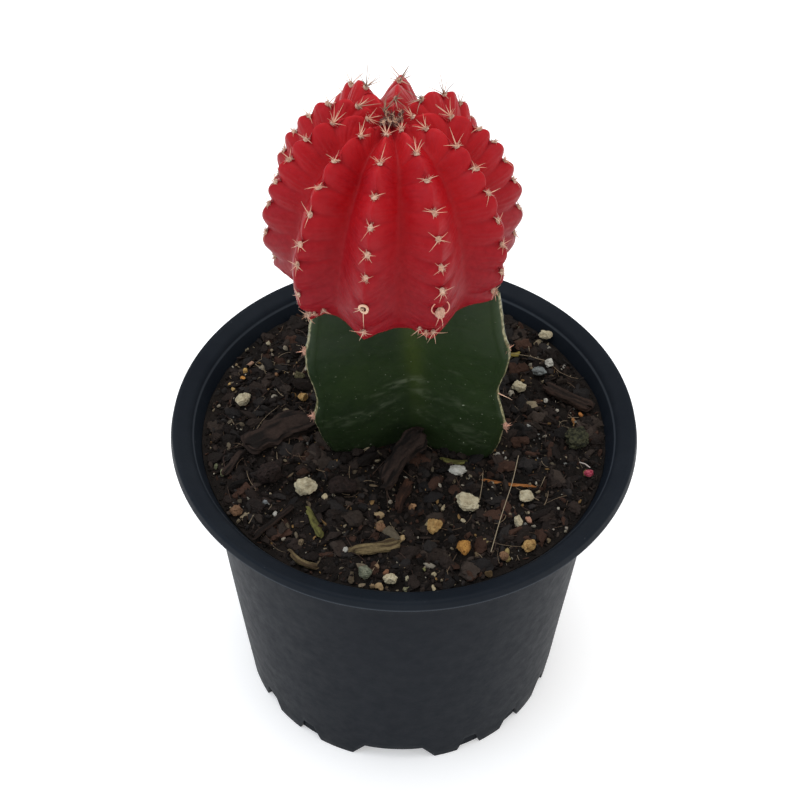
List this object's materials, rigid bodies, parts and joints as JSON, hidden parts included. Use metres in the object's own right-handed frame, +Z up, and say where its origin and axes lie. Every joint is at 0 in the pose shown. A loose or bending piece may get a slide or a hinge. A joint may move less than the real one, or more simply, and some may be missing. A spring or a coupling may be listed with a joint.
{
  "type": "potted moon cactus",
  "caption": "Grafted moon cactus: a red ribbed head on a green three-winged rootstock, standing in potting mix with loose bark and pumice in a dark round nursery pot.",
  "frame": {"origin": "middle of the pot's base, on the surface that the pot stands on", "axes": "+Z up along the pot axis; -Y is the front, the side with the wide foot notch that the two front wings of the stem face; +X to the right seen from the front"},
  "size_m": [0.101, 0.101, 0.1564],
  "materials": {
    "pot_plastic": "satin",
    "potting_mix": "matte",
    "stem_skin": "satin",
    "head_flesh": "satin",
    "pumice_cream": "matte",
    "pumice_gold": "matte",
    "pumice_grey": "matte",
    "pebble_brown": "matte",
    "bark_dark": "matte",
    "bark_red": "matte",
    "wood_tan": "matte",
    "leaf_green": "satin",
    "leaf_yellow": "satin",
    "needle_orange": "satin",
    "moss": "matte",
    "petal_pink": "matte"
  },
  "bodies": {
    "root": {"bark_back_right": "bark_red", "bark_chip_edge": "wood_tan", "bark_log_front": "bark_dark", "bark_lump_front": "bark_dark", "bark_lump_left": "bark_dark", "bark_slab_left": "bark_dark", "bark_sliver_left": "bark_dark", "bark_strip_front": "bark_red", "bark_strip_tan": "wood_tan", "leaf_bit_green": "leaf_green", "leaf_bit_olive": "leaf_green", "leaf_bit_yellow": "leaf_yellow", "moss_clump": "moss", "pebble_edge_right": "pumice_gold", "pebble_tan": "pebble_brown", "petal_bit": "petal_pink", "pine_needle": "needle_orange", "pot": "pot_plastic", "pumice_amber_front": "pumice_gold", "pumice_back": "pumice_cream", "pumice_back_right": "pumice_cream", "pumice_edge_front": "pumice_cream", "pumice_edge_right": "pumice_gold", "pumice_front_left": "pumice_cream", "pumice_front_right": "pumice_cream", "pumice_gold_front": "pumice_gold", "pumice_left": "pumice_cream", "pumice_right": "pumice_grey", "pumice_small_right": "pumice_cream", "rootstock": "stem_skin", "scion": "head_flesh", "shell_curl": "pumice_cream", "soil": "potting_mix", "stone_amber_left": "pumice_gold", "stone_green_grey": "pumice_grey", "stone_grey_right": "pumice_grey", "stone_olive_left": "pebble_brown", "stone_white_right": "pumice_grey", "twig_front_left": "bark_dark", "wood_knot_left": "bark_red"}
  },
  "joints": []
}
